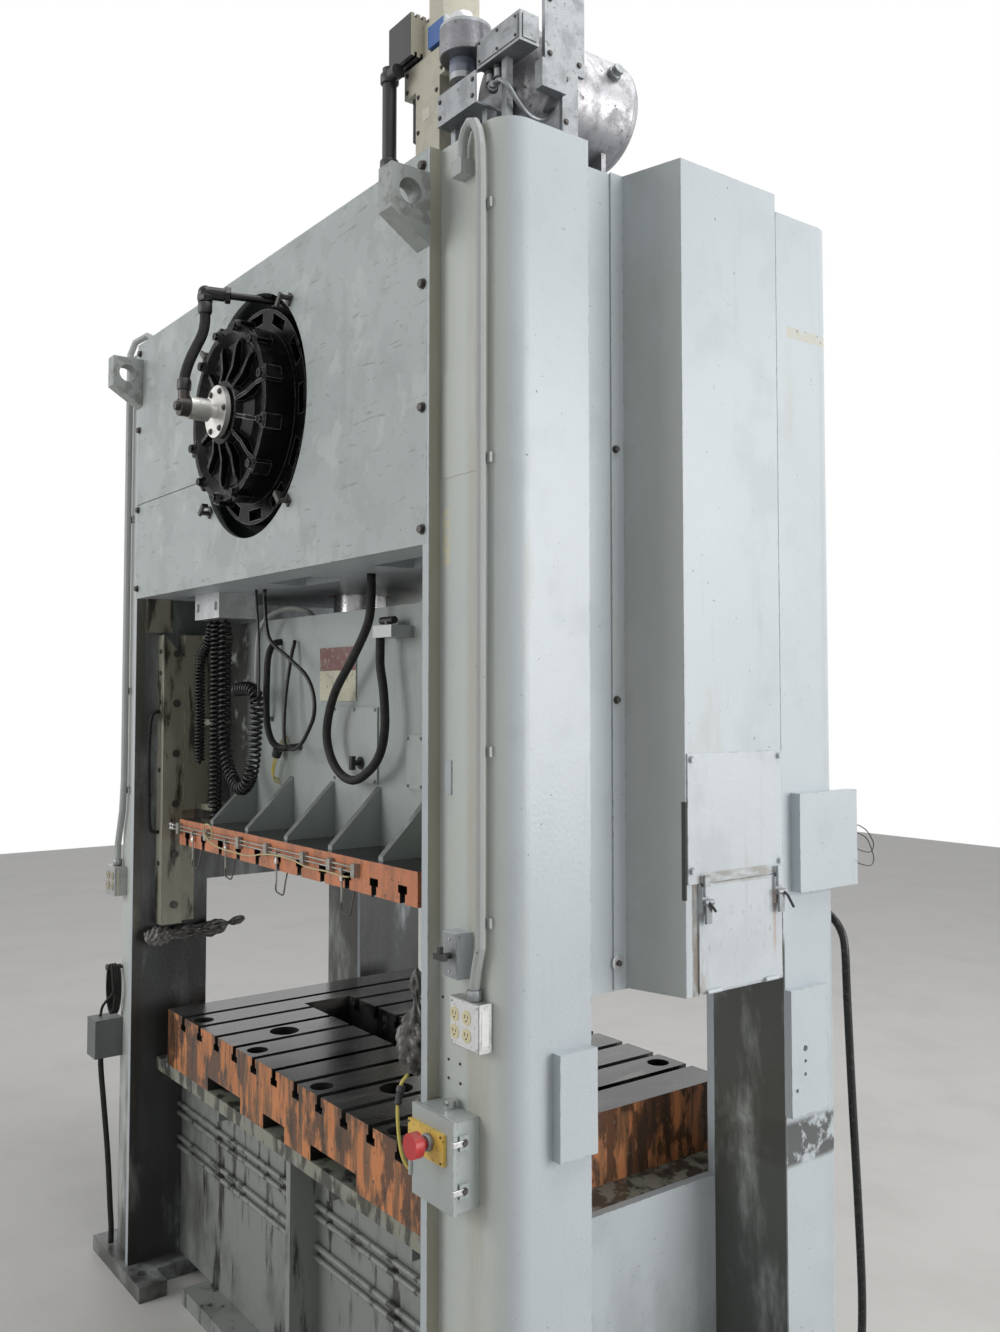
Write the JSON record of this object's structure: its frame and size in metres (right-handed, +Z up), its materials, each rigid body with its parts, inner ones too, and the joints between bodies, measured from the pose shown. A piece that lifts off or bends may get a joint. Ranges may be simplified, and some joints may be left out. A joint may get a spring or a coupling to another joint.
{
  "type": "mechanical stamping press",
  "caption": "Straight-side mechanical press: a bed with a T-slotted bolster, a guided T-slotted slide, box columns and a crown whose clutch shows in a round front opening.",
  "frame": {"origin": "floor level at the centre of the bed", "axes": "+Z up, +X to the operator's right, -Y the operator's front"},
  "size_m": [2.9583, 1.69, 4.2],
  "materials": {
    "frame_paint": "semi-gloss, dusty",
    "orange_paint": "worn, oily",
    "worn_steel": "oily",
    "zinc_steel": "galvanised",
    "dark_steel": "satin",
    "black_iron": "painted, satin",
    "gloss_black": "gloss",
    "bright_steel": "ground",
    "cast_alloy": "cast, satin",
    "black_rubber": "matt",
    "bronze": "machined",
    "red_plastic": "satin",
    "silver_paint": "dusty",
    "cream_paint": "dusty",
    "black_wrap": "matt"
  },
  "bodies": {
    "frame": {"feet": "frame_paint", "bed_weldment": "frame_paint", "bed_top_plate": "worn_steel", "bed_pipes": "worn_steel", "bolster": "orange_paint", "upright_left": "frame_paint", "upright_right": "frame_paint", "front_columns": "frame_paint", "rear_columns": "frame_paint", "side_panels": "frame_paint", "side_cover_left": "frame_paint", "side_cover_right": "frame_paint", "upper_access_cover": "frame_paint", "crown_plates": "frame_paint", "crown_walls": "frame_paint", "crown_webs": "frame_paint", "crown_cover": "frame_paint", "lifting_lugs": "frame_paint", "shaft_bearings": "black_iron", "rotary_union": "cast_alloy", "union_hose": "black_rubber", "supply_pipe": "gloss_black", "plunger_bushes": "bronze", "gib_rails": "worn_steel", "slide_hoses": "black_rubber", "coiled_cords": "black_rubber", "loop_cable": "black_rubber", "rear_cable": "black_rubber", "junction_box": "zinc_steel", "control_box": "frame_paint", "conduits": "zinc_steel", "receptacle_boxes": "zinc_steel", "column_boxes": "frame_paint", "cover_bolts": "dark_steel", "air_tank": "silver_paint", "valve_stack": "zinc_steel", "filter_unit": "cream_paint", "wrapped_fittings": "black_wrap"},
    "slide": {"slide_body": "frame_paint", "slide_gussets": "frame_paint", "guide_shoes": "worn_steel", "slide_plate": "orange_paint", "plungers": "bright_steel", "slide_panel": "frame_paint", "lube_lines": "zinc_steel"},
    "shaft": {"drive_shaft": "bright_steel", "hub_flange": "cast_alloy"},
    "flywheel": {"flywheel": "black_iron", "clutch_cover": "gloss_black"},
    "control_door": {"control_door": "frame_paint"},
    "stop_button": {"stop_button": "red_plastic"},
    "disconnect_handle": {"disconnect_handle": "gloss_black"},
    "lower_cover": {"lower_access_cover": "frame_paint"},
    "draw_latch_near": {"draw_latch_near": "zinc_steel"},
    "draw_latch_far": {"draw_latch_far": "zinc_steel"},
    "panel_knob": {"panel_knob": "gloss_black"},
    "swing_latch_1": {"swing_latch_1": "dark_steel"},
    "swing_latch_2": {"swing_latch_2": "dark_steel"},
    "swing_latch_3": {"swing_latch_3": "dark_steel"},
    "swing_latch_4": {"swing_latch_4": "dark_steel"}
  },
  "joints": [
    {"name": "slide_stroke", "type": "slide", "parent": "frame", "child": "slide", "axis": [0, 0, 1], "range_m": [-0.152, 0], "deforming": ["slide_hoses", "coiled_cords"]},
    {"name": "shaft_spin", "type": "hinge", "parent": "frame", "child": "shaft", "pos_m": [0, 0, 3.149], "axis": [0, -1, 0], "continuous": true},
    {"name": "flywheel_spin", "type": "hinge", "parent": "shaft", "child": "flywheel", "pos_m": [0, -0.6, 3.149], "axis": [0, -1, 0], "continuous": true},
    {"name": "control_door_swing", "type": "hinge", "parent": "frame", "child": "control_door", "pos_m": [1.047, -0.701, 1.15], "axis": [0, 0, 1], "range_deg": [-110, 0]},
    {"name": "stop_button_travel", "type": "slide", "parent": "control_door", "child": "stop_button", "axis": [0, 1, 0], "range_m": [0, 0.006], "stiffness_N_per_m": 400},
    {"name": "disconnect_turn", "type": "hinge", "parent": "frame", "child": "disconnect_handle", "pos_m": [1.166, -0.69, 1.626], "axis": [0, -1, 0], "range_deg": [0, 90]},
    {"name": "lower_cover_swing", "type": "hinge", "parent": "frame", "child": "lower_cover", "pos_m": [1.474, 0.0175, 1.517], "axis": [0, 1, 0], "range_deg": [0, 95]},
    {"name": "draw_latch_near_turn", "type": "hinge", "parent": "lower_cover", "child": "draw_latch_near", "pos_m": [1.4853, -0.12, 1.738], "axis": [0, 1, 0], "range_deg": [-120, 0]},
    {"name": "draw_latch_far_turn", "type": "hinge", "parent": "lower_cover", "child": "draw_latch_far", "pos_m": [1.4853, 0.152, 1.738], "axis": [0, 1, 0], "range_deg": [-120, 0]},
    {"name": "panel_knob_turn", "type": "hinge", "parent": "slide", "child": "panel_knob", "pos_m": [0.197, -0.354, 2.028], "axis": [0, -1, 0], "range_deg": [0, 90]},
    {"name": "swing_latch_1_turn", "type": "hinge", "parent": "frame", "child": "swing_latch_1", "pos_m": [0.2817, -0.66, 3.46186], "axis": [0, -1, 0], "range_deg": [0, 100]},
    {"name": "swing_latch_2_turn", "type": "hinge", "parent": "frame", "child": "swing_latch_2", "pos_m": [0.2817, -0.66, 2.83614], "axis": [0, -1, 0], "range_deg": [0, 100]},
    {"name": "swing_latch_3_turn", "type": "hinge", "parent": "frame", "child": "swing_latch_3", "pos_m": [-0.31773, -0.66, 2.8728], "axis": [0, -1, 0], "range_deg": [0, 100]},
    {"name": "swing_latch_4_turn", "type": "hinge", "parent": "frame", "child": "swing_latch_4", "pos_m": [-0.31773, -0.66, 3.4252], "axis": [0, -1, 0], "range_deg": [0, 100]}
  ]
}
